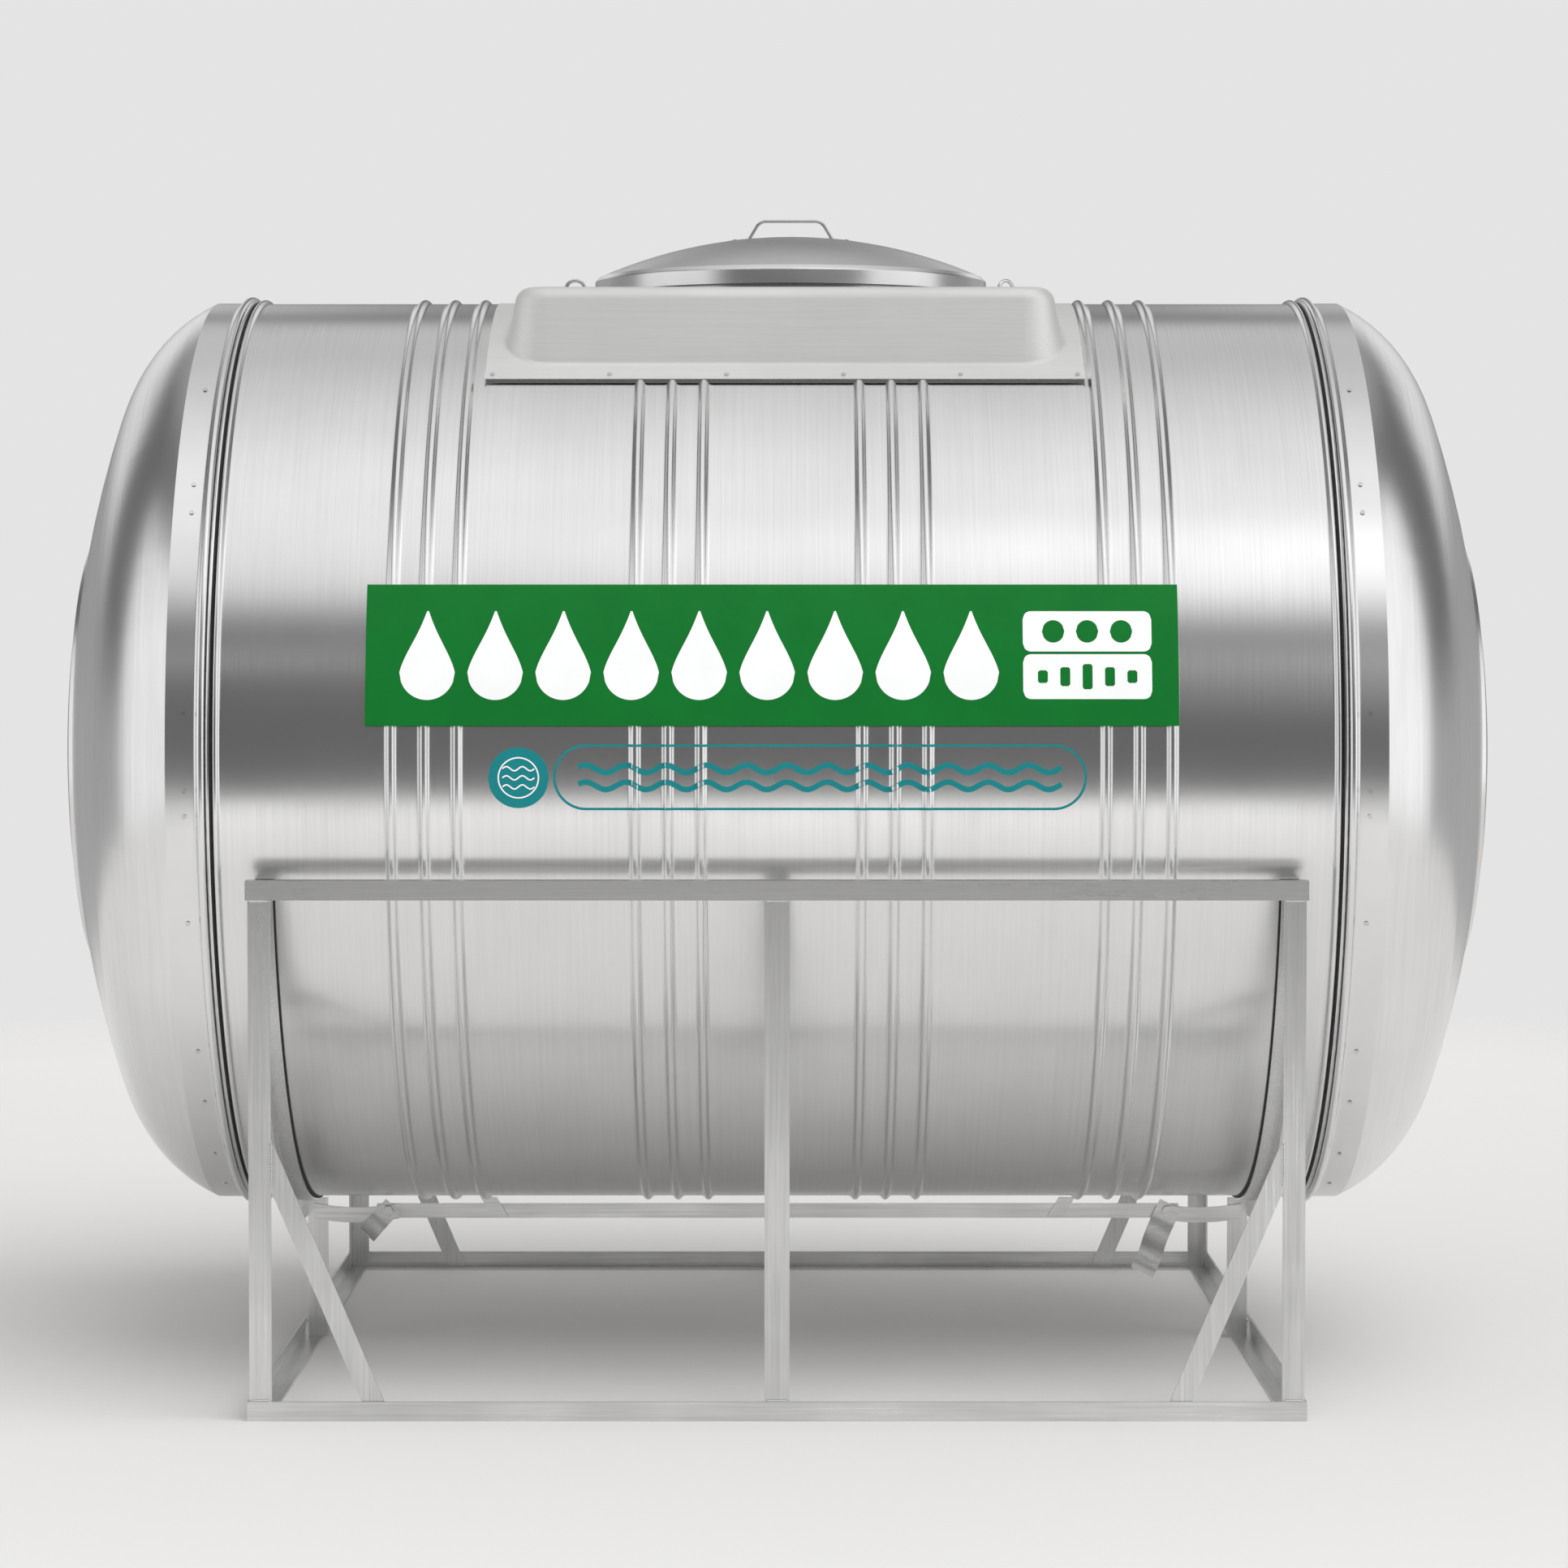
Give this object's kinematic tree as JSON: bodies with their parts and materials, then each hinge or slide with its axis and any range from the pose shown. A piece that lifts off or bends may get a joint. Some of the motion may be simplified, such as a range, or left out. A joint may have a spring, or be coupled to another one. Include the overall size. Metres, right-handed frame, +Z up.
{
  "type": "horizontal water tank",
  "caption": "Horizontal stainless steel water storage tank with dished ends, a lift-off domed manhole lid and a welded angle-section stand.",
  "frame": {"origin": "floor level under the middle of the tank and stand", "axes": "+X along the tank to its right end, +Y to the back, +Z up"},
  "size_m": [1.729, 1.174, 1.3861],
  "materials": {
    "shell_steel": "brushed round the tank",
    "head_steel": "satin",
    "saddle_steel": "satin",
    "lid_steel": "spun, brushed in circles",
    "fitting_steel": "bright",
    "stand_steel": "mill finish with light scuffs",
    "black_rubber": "matt",
    "printed_film": "satin print"
  },
  "bodies": {
    "tank_and_stand": {"back_bottom_beam": "stand_steel", "back_centre_post": "stand_steel", "back_left_brace": "stand_steel", "back_left_post": "stand_steel", "back_right_brace": "stand_steel", "back_right_post": "stand_steel", "back_top_rail": "stand_steel", "belly_rail": "stand_steel", "drain_socket": "fitting_steel", "front_bottom_beam": "stand_steel", "front_centre_post": "stand_steel", "front_left_brace": "stand_steel", "front_left_post": "stand_steel", "front_right_brace": "stand_steel", "front_right_post": "stand_steel", "front_top_rail": "stand_steel", "inlet_socket": "fitting_steel", "label": "printed_film", "left_cradle": "stand_steel", "left_cradle_pad": "black_rubber", "left_eye": "fitting_steel", "left_head": "head_steel", "left_head_rivets": "fitting_steel", "left_side_beam": "stand_steel", "left_side_post": "stand_steel", "left_tie_strap": "stand_steel", "manhole_neck": "fitting_steel", "neck_gasket": "black_rubber", "outlet_socket": "fitting_steel", "overflow_socket": "fitting_steel", "rail_struts": "stand_steel", "right_cradle": "stand_steel", "right_cradle_pad": "black_rubber", "right_eye": "fitting_steel", "right_head": "head_steel", "right_head_rivets": "fitting_steel", "right_side_beam": "stand_steel", "right_side_post": "stand_steel", "right_tie_strap": "stand_steel", "saddle_plate": "saddle_steel", "saddle_rivets": "fitting_steel", "shell": "shell_steel", "tie_bolts": "fitting_steel"},
    "lid": {"lid": "lid_steel", "lid_handle": "fitting_steel", "handle_pads": "fitting_steel", "handle_rivets": "fitting_steel"}
  },
  "joints": [
    {"name": "lid_lift", "type": "slide", "parent": "tank_and_stand", "child": "lid", "axis": [0, 0, 1], "range_m": [0, 0.15]}
  ]
}
